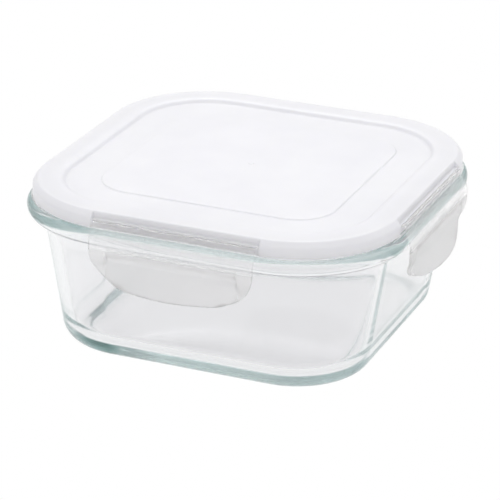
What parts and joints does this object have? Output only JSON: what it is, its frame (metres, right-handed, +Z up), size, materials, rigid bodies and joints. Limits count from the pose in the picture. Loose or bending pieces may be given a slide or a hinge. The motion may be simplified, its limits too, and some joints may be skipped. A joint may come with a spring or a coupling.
{
  "type": "food storage container",
  "caption": "Square tempered-glass food container with a translucent white snap-lock lid, a silicone gasket and clear hinged flaps that close over the glass rim.",
  "frame": {"origin": "on the surface that the container stands on, under the middle of its base", "axes": "+Z up through the lid, -Y the front flap, +X the right flap"},
  "size_m": [0.1704, 0.1704, 0.068],
  "materials": {
    "clear_glass": "polished",
    "milky_polypropylene": "satin",
    "clear_polypropylene": "satin",
    "silicone": "matte"
  },
  "bodies": {
    "container": {"glass_container": "clear_glass"},
    "lid": {"lid": "milky_polypropylene", "gasket": "silicone", "hinge_web_front": "clear_polypropylene", "hinge_web_right": "clear_polypropylene", "hinge_web_back": "clear_polypropylene", "hinge_web_left": "clear_polypropylene"},
    "latch_front": {"latch_front": "clear_polypropylene"},
    "latch_right": {"latch_right": "clear_polypropylene"},
    "latch_back": {"latch_back": "clear_polypropylene"},
    "latch_left": {"latch_left": "clear_polypropylene"}
  },
  "joints": [
    {"name": "lid_lift", "type": "slide", "parent": "container", "child": "lid", "axis": [0, 0, 1], "range_m": [0, 0.08]},
    {"name": "latch_front_swing", "type": "hinge", "parent": "lid", "child": "latch_front", "pos_m": [0, -0.0782, 0.06475], "axis": [-1, 0, 0], "range_deg": [-5, 145], "deforming": ["hinge_web_front"]},
    {"name": "latch_right_swing", "type": "hinge", "parent": "lid", "child": "latch_right", "pos_m": [0.0782, 0, 0.06475], "axis": [0, -1, 0], "range_deg": [-5, 145], "deforming": ["hinge_web_right"]},
    {"name": "latch_back_swing", "type": "hinge", "parent": "lid", "child": "latch_back", "pos_m": [0, 0.0782, 0.06475], "axis": [1, 0, 0], "range_deg": [-5, 145], "deforming": ["hinge_web_back"]},
    {"name": "latch_left_swing", "type": "hinge", "parent": "lid", "child": "latch_left", "pos_m": [-0.0782, 0, 0.06475], "axis": [0, 1, 0], "range_deg": [-5, 145], "deforming": ["hinge_web_left"]}
  ]
}
